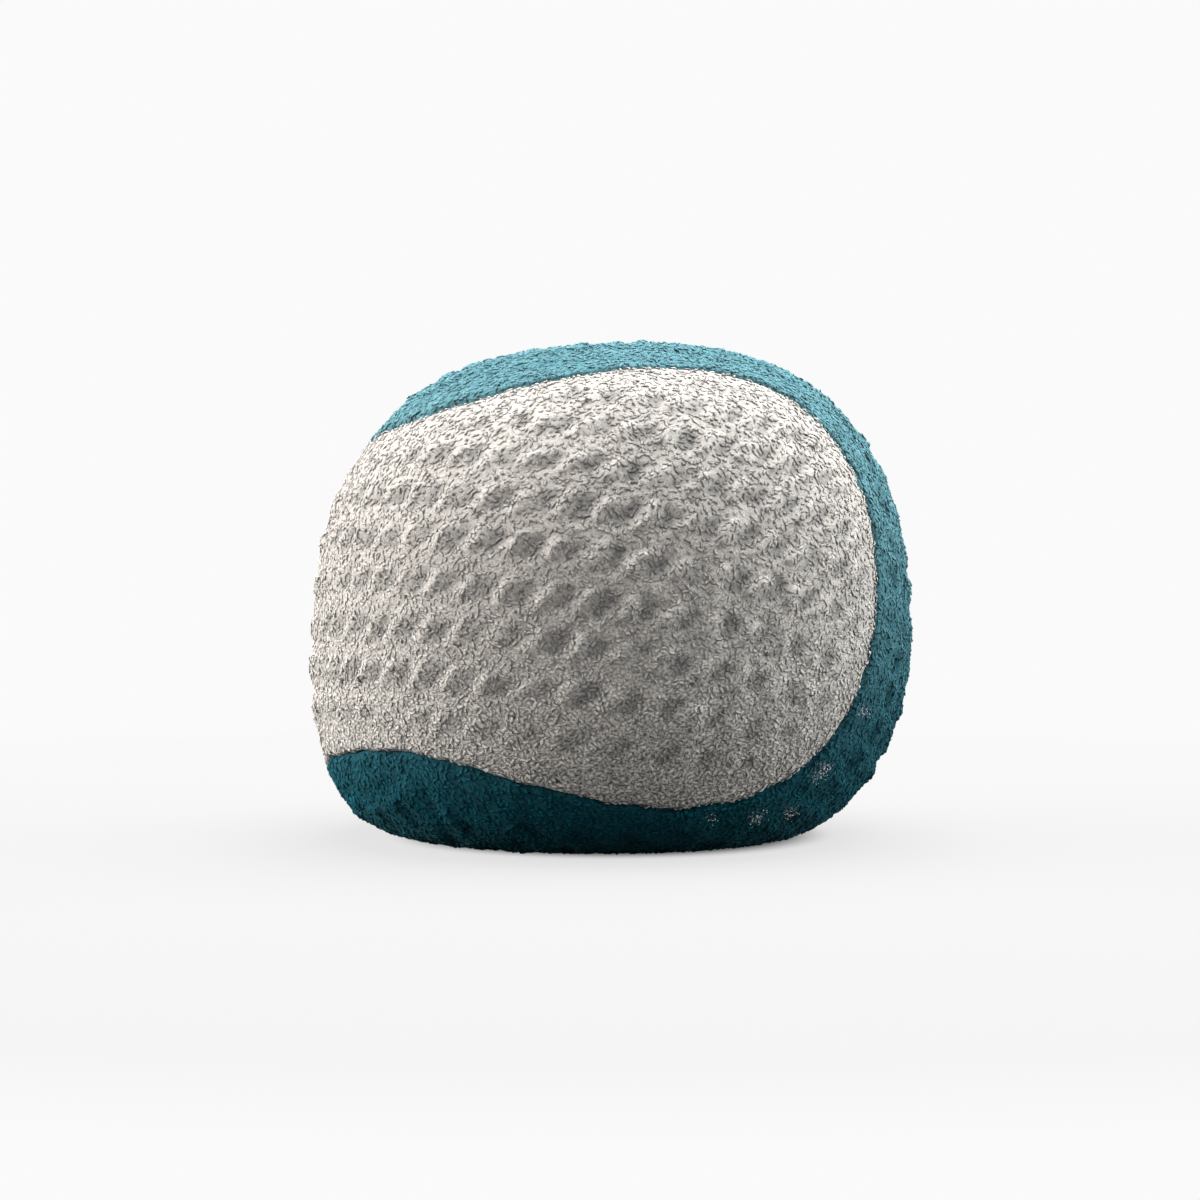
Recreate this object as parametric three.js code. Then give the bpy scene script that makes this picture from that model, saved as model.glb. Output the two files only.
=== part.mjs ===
// Grip ball: two interlocking panels of waffle microfibre, sewn face to face along one ball seam and turned,
// over an inner pouch of drying powder that is sewn from the same pattern. It rests on its own flattened base.
// Millimetres, +Z up, -Y to the front, origin on the floor at the middle of the ball's extent.

import * as THREE from 'three';

// Form of the filled ball at rest
const bodyWidth = 76;
const bodyDepth = 78;
const bodyHeight = 62.4;
const bellyHeight = 23.2;
const baseRadius = 22;
const crownLean = 1.4;
const crownTilt = 0.9;
const fullness = {
  crown: { left: 2.65, right: 2.5 },
  underside: { left: 2.73, right: 1.8 },
};

// Line of the ball seam
const seamReach = THREE.MathUtils.degToRad(58.2);
const seamSway = THREE.MathUtils.degToRad(21);
const seamHeading = THREE.MathUtils.degToRad(0);
const seamPitch = THREE.MathUtils.degToRad(-12);
const seamRoll = THREE.MathUtils.degToRad(2.2);
const spineReach = THREE.MathUtils.degToRad(100);

// Cover panels
const coverCloth = 1.5;
const coverAllowance = 4.5;
const foldRadius = 1.3;
const cornerRadius = 0.6;
const seamGap = 0.3;
const valleyDepth = 0.5;
const valleyReach = 11;
const floorPress = 8;

// Pouch panels
const pouchCloth = 0.5;
const pouchAllowance = 3;
const pouchFold = 0.5;
const grooveFoot = 3;
const grooveMouth = 7.5;

// Threads
const coverThread = 0.5;
const coverPitch = 3.8;
const coverStitchDrop = 1.3;
const pouchThread = 0.35;
const pouchPitch = 8;
const pouchStitchDrop = 1.2;
const stitchSlack = 0.25;
const closingThread = 0.4;
const closingPitch = 3.2;
const closingSwing = 0.2;
const closingMiddle = THREE.MathUtils.degToRad(55);
const closingLength = 30;
const threadTail = 3;

// Distance kept between pieces that lie on each other
const clearance = 0.35;

// Fineness of the facets
const columns = 56;
const fieldRows = 5;
const outlineSteps = 40;
const threadSides = 4;

const bodyRadius = bodyWidth / 2;
const heart = new THREE.Vector3(0, 0, (bellyHeight + bodyHeight / 2) / 2);
const mix = THREE.MathUtils.lerp;

// Half of the ball's outline at one bearing, from the crown over the belly to the middle of the flat base.
// Each point is [radius, height, length of the outline up to it].
function outlineAt(bearing) {
  const rightness = (1 + Math.cos(bearing)) / 2;
  const crownPower = 2 / mix(fullness.crown.left, fullness.crown.right, rightness);
  const undersidePower = 2 / mix(fullness.underside.left, fullness.underside.right, rightness);
  const reach = 1 / Math.hypot(2 * Math.cos(bearing) / bodyWidth, 2 * Math.sin(bearing) / bodyDepth);
  const points = [];
  for (let step = 0; step <= outlineSteps; step++) {
    const angle = (step / outlineSteps) * Math.PI / 2;
    const height = mix(bellyHeight, bodyHeight, Math.cos(angle) ** crownPower);
    points.push([reach * Math.sin(angle) ** crownPower, height, 0]);
  }
  for (let step = 1; step <= outlineSteps; step++) {
    const angle = (step / outlineSteps) * Math.PI / 2;
    const radius = mix(baseRadius, reach, Math.cos(angle) ** undersidePower);
    points.push([radius, bellyHeight * (1 - Math.sin(angle) ** undersidePower), 0]);
  }
  points.push([0, 0, 0]);
  for (let i = 1; i < points.length; i++) {
    const [radius, height] = points[i];
    const [lastRadius, lastHeight, lastLength] = points[i - 1];
    points[i][2] = lastLength + Math.hypot(radius - lastRadius, height - lastHeight);
  }
  return points;
}

// Point of the ball's skin that a direction from its middle stands for. Cloth keeps its length,
// so the angle from the crown becomes a share of the outline's length.
function skinPoint(direction) {
  const bearing = Math.atan2(direction.y, direction.x);
  const outline = outlineAt(bearing);
  const polar = Math.acos(THREE.MathUtils.clamp(direction.z, -1, 1));
  const length = (polar / Math.PI) * outline.at(-1)[2];
  const next = Math.max(1, outline.findIndex((point) => point[2] >= length));
  const [radiusA, heightA, lengthA] = outline[next - 1];
  const [radiusB, heightB, lengthB] = outline[next];
  const share = (length - lengthA) / (lengthB - lengthA);
  const radius = mix(radiusA, radiusB, share);
  const height = mix(heightA, heightB, share);
  const rise = height / bodyHeight;
  const x = radius * Math.cos(bearing);
  return new THREE.Vector3(
    x + crownLean * rise ** 2,
    radius * Math.sin(bearing),
    height + crownTilt * (x / bodyRadius) * rise ** 3,
  );
}

function skinNormal(direction) {
  const nudge = 0.01;
  const side = Math.abs(direction.z) < 0.8 ? new THREE.Vector3(0, 0, 1) : new THREE.Vector3(1, 0, 0);
  const first = new THREE.Vector3().crossVectors(side, direction).normalize();
  const second = new THREE.Vector3().crossVectors(direction, first);
  const across = (axis) => {
    const ahead = skinPoint(direction.clone().addScaledVector(axis, nudge).normalize());
    const behind = skinPoint(direction.clone().addScaledVector(axis, -nudge).normalize());
    return ahead.sub(behind);
  };
  return across(first).cross(across(second)).normalize();
}

// Point under the skin. The way in leads to the ball's heart, and the depth is measured square to the skin.
function pointBelow(direction, depth) {
  const point = skinPoint(direction);
  const outward = point.clone().sub(heart).normalize();
  return point.addScaledVector(outward, -depth / outward.dot(skinNormal(direction)));
}

// Directions in the seam's own axes: up to one lobe of the teal panel, back to one lobe of the grey panel,
// and to the grey panel's waist.
const seamTilt = new THREE.Euler(seamPitch, seamRoll, seamHeading, 'YXZ');

function fromSeamAxes(up, back, waist) {
  return new THREE.Vector3(-waist, back, up).applyEuler(seamTilt);
}

function seamDirection(turn) {
  const latitude = seamReach * Math.cos(2 * turn);
  const longitude = turn + seamSway * Math.sin(4 * turn);
  const level = Math.cos(latitude);
  return fromSeamAxes(level * Math.cos(longitude), level * Math.sin(longitude), Math.sin(latitude));
}

// The two sides of the seam. Each panel is a figure of eight round a spine that runs from lobe to lobe,
// and its columns join the seam to the spine; mirror gives the column that meets the same spine point.
const greySide = {
  sign: 1,
  spine(turn) {
    const angle = spineReach * Math.sin(Math.sin(turn) * Math.PI / 2);
    return fromSeamAxes(0, Math.sin(angle), Math.cos(angle));
  },
  mirror: (column) => (1.5 * columns - column) % columns,
};
const tealSide = {
  sign: -1,
  spine(turn) {
    const angle = spineReach * Math.sin(Math.cos(turn) * Math.PI / 2);
    return fromSeamAxes(Math.sin(angle), 0, -Math.cos(angle));
  },
  mirror: (column) => (columns - column) % columns,
};

// Direction at a distance from the seam on one side, and then a share of the way that is left to the spine.
// A column leaves the seam square to it and bends towards its spine point.
function panelDirection(side, turn, distance, share) {
  const nudge = 0.001;
  const start = seamDirection(turn);
  const along = seamDirection(turn + nudge).sub(seamDirection(turn - nudge));
  const inward = start.clone().cross(along).normalize().multiplyScalar(side.sign);
  const end = side.spine(turn);
  const span = start.angleTo(end);
  const way = mix(distance / (span * bodyRadius), 1, share);
  const middle = start.clone().addScaledVector(inward, span / 2);
  return start
    .multiplyScalar((1 - way) ** 2)
    .addScaledVector(middle, 2 * way * (1 - way))
    .addScaledVector(end, way ** 2)
    .normalize();
}

// Point at a distance from the seam and at a depth in the cloth. The seam draws the cloth into a shallow
// valley, except where the floor presses it flat.
function panelPoint(side, turn, distance, share, depth) {
  const direction = panelDirection(side, turn, distance, share);
  const way = direction.angleTo(seamDirection(turn)) * bodyRadius;
  const valley = 1 - THREE.MathUtils.smoothstep(way, 0, valleyReach);
  const free = THREE.MathUtils.smoothstep(skinPoint(direction).z, 0, floorPress);
  return pointBelow(direction, depth + valleyDepth * valley * free);
}

// A row of a section is [side, distance from the seam, share of the way left to the spine, depth].
const field = Array.from({ length: fieldRows }, (_, i) => 1 - i / fieldRows);

function fieldOf(side, distance, depth) {
  return field.map((share) => [side, distance, share, depth]);
}

// Closed soft solid swept along the whole seam. The first and the last row lie on a spine, where mirrored
// columns share their points. Each quad is split the same way on a cloth's face and on its back, so that
// layers that lie on each other have facets that run parallel.
function sweptSolid(rows) {
  const positions = [];
  const grid = rows.map(([side, distance, share, depth]) => {
    const row = [];
    for (let column = 0; column < columns; column++) {
      const twin = share === 1 ? side.mirror(column) : column;
      if (twin < column) {
        row.push(row[twin]);
        continue;
      }
      const turn = (column / columns) * 2 * Math.PI;
      row.push(positions.length / 3);
      positions.push(...panelPoint(side, turn, distance, share, depth).toArray());
    }
    return row;
  });
  const faces = [];
  for (let r = 1; r < rows.length; r++) {
    const [, lastDistance, lastShare] = rows[r - 1];
    const [, distance, share] = rows[r];
    const towardsSeam = lastShare > share || (lastShare === share && lastDistance >= distance);
    for (let column = 0; column < columns; column++) {
      const next = (column + 1) % columns;
      const [a, b] = [grid[r - 1][column], grid[r - 1][next]];
      const [c, d] = [grid[r][column], grid[r][next]];
      const pair = towardsSeam ? [a, d, b, a, c, d] : [a, c, b, b, c, d];
      faces.push(...(rows[0][0].sign > 0 ? pair : pair.reverse()));
    }
  }
  const geometry = new THREE.BufferGeometry();
  geometry.setAttribute('position', new THREE.Float32BufferAttribute(positions, 3));
  geometry.setIndex(faces);
  geometry.computeVertexNormals();
  return geometry;
}

// Cover panel: the face, the fold into the seam, the allowance that stands inwards, and the back.
const allowanceDepth = foldRadius + coverAllowance;

function coverPanel(side) {
  const edge = seamGap / 2;
  const fold = [90, 45, 0].map((degrees) => {
    const angle = THREE.MathUtils.degToRad(degrees);
    return [side, edge + foldRadius * (1 - Math.cos(angle)), 0, foldRadius * (1 - Math.sin(angle))];
  });
  return sweptSolid([
    ...fieldOf(side, grooveMouth, 0),
    [side, grooveMouth, 0, 0],
    [side, grooveMouth / 2, 0, 0],
    ...fold,
    [side, edge, 0, allowanceDepth],
    [side, edge + coverCloth, 0, allowanceDepth],
    [side, edge + coverCloth, 0, coverCloth + cornerRadius],
    [side, edge + coverCloth + cornerRadius, 0, coverCloth],
    [side, grooveMouth, 0, coverCloth],
    ...fieldOf(side, grooveMouth, coverCloth).reverse(),
  ]);
}

// Pouch panel: it follows the cover's back, dips round the cover's allowances, and turns in an allowance
// of its own at the bottom of that groove.
const pouchFace = coverCloth + clearance;
const grooveDepth = allowanceDepth + clearance;
const pouchEnd = grooveDepth + pouchFold + pouchAllowance;

function pouchPanel(side) {
  const edge = seamGap / 2;
  return sweptSolid([
    ...fieldOf(side, grooveMouth, pouchFace),
    [side, grooveMouth, 0, pouchFace],
    [side, grooveFoot, 0, grooveDepth],
    [side, edge + pouchFold, 0, grooveDepth],
    [side, edge, 0, grooveDepth + pouchFold],
    [side, edge, 0, pouchEnd],
    [side, edge + pouchCloth, 0, pouchEnd],
    [side, edge + pouchCloth, 0, grooveDepth + pouchCloth + pouchFold / 2],
    [side, edge + pouchCloth + pouchFold / 2, 0, grooveDepth + pouchCloth],
    [side, grooveFoot + pouchCloth / 2, 0, grooveDepth + pouchCloth],
    [side, grooveMouth + pouchCloth / 2, 0, pouchFace + pouchCloth],
    ...fieldOf(side, grooveMouth, pouchFace + pouchCloth).reverse(),
  ]);
}

// Powder: it fills the pouch and lies round the pouch's allowances and their thread.
function powderFill() {
  const top = pouchFace + pouchCloth + clearance;
  const grooveFloor = grooveDepth + pouchCloth + clearance;
  const slotWidth = seamGap / 2 + pouchCloth + pouchThread + stitchSlack + 2 * clearance;
  const slopeShift = pouchCloth / 2;
  const halfFill = (side) => [
    ...fieldOf(side, grooveMouth, top),
    [side, grooveMouth + slopeShift, 0, top],
    [side, grooveFoot + slopeShift, 0, grooveFloor],
    [side, slotWidth, 0, grooveFloor],
    [side, slotWidth, 0, pouchEnd + clearance],
  ];
  return sweptSolid([
    ...halfFill(greySide),
    [greySide, 0, 0, pouchEnd + clearance],
    ...halfFill(tealSide).reverse(),
  ]);
}

// Stretch of the seam between two turns, walked at an even pace: share 0 to 1 gives the turn.
function evenTurns(from, to) {
  const samples = 240;
  const turns = Array.from({ length: samples + 1 }, (_, i) => mix(from, to, i / samples));
  const points = turns.map((turn) => skinPoint(seamDirection(turn)));
  const lengths = [0];
  for (let i = 1; i <= samples; i++) {
    lengths.push(lengths[i - 1] + points[i].distanceTo(points[i - 1]));
  }
  const whole = lengths[samples];
  const turnAt = (share) => {
    const length = share * whole;
    const next = Math.max(1, lengths.findIndex((value) => value >= length - 1e-9));
    const part = (length - lengths[next - 1]) / (lengths[next] - lengths[next - 1]);
    return mix(turns[next - 1], turns[next], part);
  };
  return { whole, turnAt };
}

// Thread that follows the seam, with a place in the seam's section at each share of its stretch.
class SeamThread extends THREE.Curve {
  constructor(stretch, sectionAt) {
    super();
    this.stretch = stretch;
    this.sectionAt = sectionAt;
  }

  getPoint(share, target = new THREE.Vector3()) {
    const { side, distance, depth } = this.sectionAt(share);
    return target.copy(panelPoint(side, this.stretch.turnAt(share), distance, 0, depth));
  }
}

function threadTube(curve, diameter, steps) {
  const section = [];
  for (let i = 0; i < threadSides; i++) {
    const angle = (i / threadSides) * 2 * Math.PI;
    section.push(new THREE.Vector2(Math.cos(angle), Math.sin(angle)).multiplyScalar(diameter / 2));
  }
  curve.arcLengthDivisions = 2 * steps;
  return new THREE.ExtrudeGeometry(new THREE.Shape(section), {
    steps,
    extrudePath: curve,
    bevelEnabled: false,
  });
}

// Machine stitches along one allowance: the thread is tight at each needle hole and slack between two holes.
function stitchRow(side, stretch, diameter, pitch, clothFace, depth) {
  const stitches = Math.round(stretch.whole / pitch);
  const tight = clothFace + clearance + diameter / 2;
  const curve = new SeamThread(stretch, (share) => {
    const slack = Math.abs(Math.sin(share * stitches * Math.PI));
    return { side, distance: tight + stitchSlack * slack, depth };
  });
  return threadTube(curve, diameter, 2 * stitches);
}

// The opening for the fill, closed by hand, and the rest of the seam, which runs round to it by machine.
const wholeSeam = evenTurns(closingMiddle, closingMiddle + 2 * Math.PI);
const halfOpening = closingLength / 2 / wholeSeam.whole;
const opening = {
  from: wholeSeam.turnAt(1 - halfOpening) - 2 * Math.PI,
  to: wholeSeam.turnAt(halfOpening),
};
const tail = threadTail / wholeSeam.whole * 2 * Math.PI;
const machineStretch = evenTurns(opening.to - tail, opening.from + tail + 2 * Math.PI);
const closingStretch = evenTurns(opening.from, opening.to);
const pouchStretch = evenTurns(closingMiddle + tail, closingMiddle - tail + 2 * Math.PI);

function coverThreadOn(side) {
  const clothFace = seamGap / 2 + coverCloth;
  const depth = foldRadius + coverStitchDrop;
  return stitchRow(side, machineStretch, coverThread, coverPitch, clothFace, depth);
}

function pouchThreadTube() {
  const clothFace = seamGap / 2 + pouchCloth;
  const depth = grooveDepth + pouchFold + pouchStitchDrop;
  return stitchRow(greySide, pouchStretch, pouchThread, pouchPitch, clothFace, depth);
}

// Ladder stitch by hand: the thread goes from fold to fold in the valley over the gap.
function closingThreadTube() {
  const stitches = Math.round(closingLength / closingPitch);
  const curve = new SeamThread(closingStretch, (share) => {
    const swing = closingSwing * Math.sin(share * stitches * 2 * Math.PI);
    return { side: swing > 0 ? greySide : tealSide, distance: Math.abs(swing), depth: 0 };
  });
  return threadTube(curve, closingThread, 4 * stitches);
}

function cloth(color) {
  return new THREE.MeshStandardMaterial({ color, roughness: 0.95, metalness: 0 });
}

const greyMicrofibre = cloth('#b9b4ae');
const tealMicrofibre = cloth('#3b7f8b');
const greyThread = cloth('#a7a39d');
const tealThread = cloth('#2c6572');
const pouchFabric = cloth('#e9e6df');
const whiteThread = cloth('#f2f0ea');
const whitePowder = cloth('#f7f5f0');

function piece(name, geometry, material) {
  const mesh = new THREE.Mesh(geometry, material);
  mesh.name = name;
  return mesh;
}

const ball = new THREE.Group();
ball.add(
  piece('cover_panel_grey', coverPanel(greySide), greyMicrofibre),
  piece('cover_panel_teal', coverPanel(tealSide), tealMicrofibre),
  piece('cover_needle_thread', coverThreadOn(greySide), greyThread),
  piece('cover_bobbin_thread', coverThreadOn(tealSide), tealThread),
  piece('cover_closing_thread', closingThreadTube(), tealThread),
  piece('pouch_panel_grey_side', pouchPanel(greySide), pouchFabric),
  piece('pouch_panel_teal_side', pouchPanel(tealSide), pouchFabric),
  piece('pouch_thread', pouchThreadTube(), whiteThread),
  piece('drying_powder', powderFill(), whitePowder),
);

// The origin goes to the middle of the ball's extent, on the floor.
const extent = new THREE.Box3().setFromObject(ball);
const middle = extent.getCenter(new THREE.Vector3());
ball.position.set(-middle.x, -middle.y, 0);

const part = new THREE.Group();
part.add(ball);

export default part;
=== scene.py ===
import math

import bpy
import numpy as np
from mathutils import Euler, Matrix, Vector, noise
from mathutils.kdtree import KDTree


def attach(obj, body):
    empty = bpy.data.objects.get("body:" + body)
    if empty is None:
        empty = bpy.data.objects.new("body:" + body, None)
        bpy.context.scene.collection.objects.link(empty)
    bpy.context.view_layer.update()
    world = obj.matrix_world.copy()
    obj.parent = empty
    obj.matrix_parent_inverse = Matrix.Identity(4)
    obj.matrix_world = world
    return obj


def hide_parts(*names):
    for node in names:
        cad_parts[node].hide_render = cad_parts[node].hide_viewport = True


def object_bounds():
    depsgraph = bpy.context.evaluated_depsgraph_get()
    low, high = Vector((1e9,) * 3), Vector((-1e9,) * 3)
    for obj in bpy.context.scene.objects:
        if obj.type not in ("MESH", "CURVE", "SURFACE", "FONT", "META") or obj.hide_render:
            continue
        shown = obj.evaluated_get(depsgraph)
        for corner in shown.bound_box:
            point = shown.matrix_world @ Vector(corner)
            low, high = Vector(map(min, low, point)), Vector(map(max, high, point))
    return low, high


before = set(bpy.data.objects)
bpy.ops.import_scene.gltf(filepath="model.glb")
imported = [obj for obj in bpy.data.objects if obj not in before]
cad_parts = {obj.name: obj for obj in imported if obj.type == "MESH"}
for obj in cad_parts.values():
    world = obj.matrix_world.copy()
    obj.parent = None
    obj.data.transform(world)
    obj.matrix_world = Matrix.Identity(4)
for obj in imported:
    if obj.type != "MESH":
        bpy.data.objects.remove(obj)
cad_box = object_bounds()

# Grey cover panel
# One figure of eight of waffle microfibre: a knitted ground with short crimped tufts, and a grid of
# sunken cells. It lobes over the front and the back, its waist is at the left, and its edge is turned in
# all round and sewn face to face to the teal panel.

mm = 0.001
low, high = (np.array(corner) / mm for corner in cad_box)
body_width, body_depth, body_height = high - low
body_radius = body_width / 2
belly_height = 23.2
base_radius = 22.0
crown_lean = 1.4
crown_tilt = 0.9
crown_fullness = (2.65, 2.5)
underside_fullness = (2.73, 1.8)
outline_steps = 90
heart = np.array([0, 0, (belly_height + body_height / 2) / 2])


def mix(first, second, share):
    return first + (second - first) * share


def smooth_step(value, start, end):
    share = np.clip((value - start) / (end - start), 0, 1)
    return share * share * (3 - 2 * share)


def unit(vectors):
    return vectors / np.linalg.norm(vectors, axis=1, keepdims=True)


def dot(first, second):
    return (first * second).sum(axis=1)


def outlines_at(bearing):
    """The half outline at each bearing, from the crown to the middle of the base: radii and heights."""
    rightness = (1 + np.cos(bearing)) / 2
    crown = (2 / mix(*crown_fullness, rightness))[:, None]
    underside = (2 / mix(*underside_fullness, rightness))[:, None]
    across = 2 * np.cos(bearing) / body_width
    along = 2 * np.sin(bearing) / body_depth
    reach = (1 / np.hypot(across, along))[:, None]
    angle = np.linspace(0, math.pi / 2, outline_steps + 1)[None, :]
    sine = np.sin(angle)
    cosine = np.clip(np.cos(angle), 0, 1)
    middle = np.zeros((len(bearing), 1))
    radius = np.hstack([
        reach * sine ** crown,
        mix(base_radius, reach, cosine[:, 1:] ** underside),
        middle,
    ])
    height = np.hstack([
        mix(belly_height, body_height, cosine ** crown),
        belly_height * (1 - sine[:, 1:] ** underside),
        middle,
    ])
    return radius, height


def skin(direction):
    """Points of the ball's skin, in millimetres, for directions from its middle. Cloth keeps its length,
    so the angle from the crown is a share of the outline's length."""
    bearing = np.arctan2(direction[:, 1], direction[:, 0])
    radius, height = outlines_at(bearing)
    steps = np.hypot(np.diff(radius), np.diff(height))
    lengths = np.hstack([np.zeros((len(bearing), 1)), np.cumsum(steps, axis=1)])
    polar = np.arccos(np.clip(direction[:, 2], -1, 1))
    wanted = (polar / math.pi)[:, None] * lengths[:, -1:]
    after = np.clip((lengths < wanted).sum(axis=1), 1, lengths.shape[1] - 1)[:, None]

    def at(table, index):
        return np.take_along_axis(table, index, axis=1)[:, 0]

    share = (wanted[:, 0] - at(lengths, after - 1)) / (at(lengths, after) - at(lengths, after - 1))
    spread = mix(at(radius, after - 1), at(radius, after), share)
    level = mix(at(height, after - 1), at(height, after), share)
    rise = level / body_height
    x = spread * np.cos(bearing)
    y = spread * np.sin(bearing)
    return np.column_stack([
        x + crown_lean * rise ** 2,
        y,
        level + crown_tilt * (x / body_radius) * rise ** 3,
    ])


def skin_normal(direction):
    nudge = 0.01
    near_pole = 0.8
    steep = np.abs(direction[:, 2]) < near_pole
    side = np.where(steep[:, None], [[0.0, 0.0, 1.0]], [[1.0, 0.0, 0.0]])
    first = unit(np.cross(side, direction))
    second = np.cross(direction, first)
    across, along = (
        skin(unit(direction + nudge * axis)) - skin(unit(direction - nudge * axis))
        for axis in (first, second)
    )
    return unit(np.cross(across, along))


def point_below(direction, depth):
    """Points under the skin on the way to the ball's heart, at depths measured square to the skin."""
    point = skin(direction)
    outward = unit(point - heart)
    return point - outward * (depth / dot(outward, skin_normal(direction)))[:, None]


seam_reach = math.radians(58.2)
seam_sway = math.radians(21)
seam_pitch = math.radians(-12)
seam_roll = math.radians(2.2)
spine_reach = math.radians(100)
grain_end = math.radians(108)
seam_turn = np.array(Euler((seam_pitch, seam_roll, 0), "ZXY").to_matrix())


def from_seam_axes(up, back, waist):
    return np.column_stack([-waist, back, up]) @ seam_turn.T


def seam_direction(turn):
    latitude = seam_reach * np.cos(2 * turn)
    longitude = turn + seam_sway * np.sin(4 * turn)
    level = np.cos(latitude)
    return from_seam_axes(level * np.cos(longitude), level * np.sin(longitude), np.sin(latitude))


class Side:
    """One side of the seam. Its cloth has a spine from lobe to lobe, and its grain runs along that spine.
    The grain's origin is the front lobe for the grey cloth and the waist for the teal one."""

    def __init__(self, grey):
        self.sign = 1 if grey else -1

    def spine(self, turn):
        if self.sign > 0:
            angle = spine_reach * np.sin(np.sin(turn) * math.pi / 2)
            return from_seam_axes(0 * angle, np.sin(angle), np.cos(angle))
        angle = spine_reach * np.sin(np.cos(turn) * math.pi / 2)
        return from_seam_axes(np.sin(angle), 0 * angle, -np.cos(angle))

    def mirror(self, column, columns):
        return (1.5 * columns - column if self.sign > 0 else columns - column) % columns

    def grain(self, direction):
        """Places on the cloth, along and across the spine, in millimetres of the flat cloth."""
        x, back, up = (direction @ seam_turn).T
        if self.sign > 0:
            across = up
            along = np.arctan2(x, -back)
            along = np.where(along > grain_end, along - 2 * math.pi, along)
        else:
            across = back
            along = np.arctan2(-up, x)
        latitude = np.arcsin(np.clip(across, -1, 1))
        return body_radius * np.cos(latitude) * along, body_radius * latitude


grey_side = Side(grey=True)
teal_side = Side(grey=False)
valley_depth = 0.2
valley_reach = 11.0
floor_press = 8.0
seam_pucker = 0.45
pucker_length = 2.2
pucker_fade = 4


def panel_direction(side, turn, distance, share):
    """Directions at a distance from the seam, and then a share of the way that is left to the spine."""
    nudge = 0.001
    start = seam_direction(turn)
    along = seam_direction(turn + nudge) - seam_direction(turn - nudge)
    inward = side.sign * unit(np.cross(start, along))
    end = side.spine(turn)
    span = np.arccos(np.clip(dot(start, end), -1, 1))
    way = mix(distance / (span * body_radius), 1, share)[:, None]
    middle = start + inward * span[:, None] / 2
    return unit(start * (1 - way) ** 2 + middle * 2 * way * (1 - way) + end * way ** 2)


def lumps(places, size):
    """Smooth random lumps of about one size, from -1 to 1, at places in millimetres."""
    return np.array([noise.noise(Vector(place)) for place in places / size])


def panel_row(side, turn, distance, share, depth):
    """One row of a panel's points along the whole seam, with each point's direction and way from the
    seam. The machine has puckered the seam a little to one side and the other, the same for both panels."""
    pucker = seam_pucker * lumps(skin(seam_direction(turn)), pucker_length)
    shift = side.sign * pucker * (1 - share) ** pucker_fade
    direction = panel_direction(side, turn, distance + shift, share)
    way = np.arccos(np.clip(dot(direction, seam_direction(turn)), -1, 1)) * body_radius
    valley = 1 - smooth_step(way, 0, valley_reach)
    free = smooth_step(skin(direction)[:, 2], 0, floor_press)
    return point_below(direction, depth + valley_depth * valley * free), direction, way


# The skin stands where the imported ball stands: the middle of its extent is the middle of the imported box.
bearing_steps = 180
polar_steps = 90
bearings, polars = np.meshgrid(
    np.linspace(0, 2 * math.pi, bearing_steps),
    np.linspace(0, math.pi, polar_steps),
)
around = np.column_stack([
    (np.sin(polars) * np.cos(bearings)).ravel(),
    (np.sin(polars) * np.sin(bearings)).ravel(),
    np.cos(polars).ravel(),
])
skin_points = skin(around)
to_frame = (low + high) / 2 - (skin_points.min(axis=0) + skin_points.max(axis=0)) / 2
to_frame[2] = 0


def store(mesh, name, values):
    """Keeps a number or a vector for each vertex, under a name that the finish reads."""
    kind, field = ("FLOAT", "value") if values.ndim == 1 else ("FLOAT_VECTOR", "vector")
    mesh.attributes.new(name, kind, "POINT").data.foreach_set(field, values.ravel())


def numbers(collection, field):
    values = np.zeros(len(collection))
    collection.foreach_get(field, values)
    return values


def vectors(collection, field):
    values = np.zeros(len(collection) * 3)
    collection.foreach_get(field, values)
    return values.reshape(-1, 3)


def stand(name, mesh):
    """Rounds a mesh's shading and puts it in the scene as a piece."""
    mesh.polygons.foreach_set("use_smooth", np.full(len(mesh.polygons), True))
    mesh.update()
    piece = bpy.data.objects.new(name, mesh)
    bpy.context.scene.collection.objects.link(piece)
    return piece


def point_numbers(side, columns, on_spine):
    """Which columns of a row keep a point, and the number in the row of the point that each column uses.
    On the spine, two mirrored columns share one point."""
    index = np.arange(columns)
    if not on_spine:
        return np.full(columns, True), index
    twin = side.mirror(index, columns).astype(int)
    kept = twin >= index
    order = np.cumsum(kept) - 1
    return kept, np.where(kept, order, order[np.minimum(twin, index)])


def faces_between(grid, outwards):
    """Four-sided faces between the rows of a grid of point numbers that closes on itself."""
    following = np.roll(grid, -1, axis=1)
    faces = np.stack([grid[:-1], grid[1:], following[1:], following[:-1]], axis=-1).reshape(-1, 4)
    return (faces if outwards else faces[:, ::-1]).tolist()


def raise_relief(mesh, points, places, ways, relief):
    height, hollow = relief(points, places, ways)
    moved = points + vectors(mesh.vertex_normals, "vector") * height[:, None]
    moved[:, 2] = np.maximum(moved[:, 2], 0)
    mesh.vertices.foreach_set("co", moved.ravel())
    store(mesh, "hollow", hollow)


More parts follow.
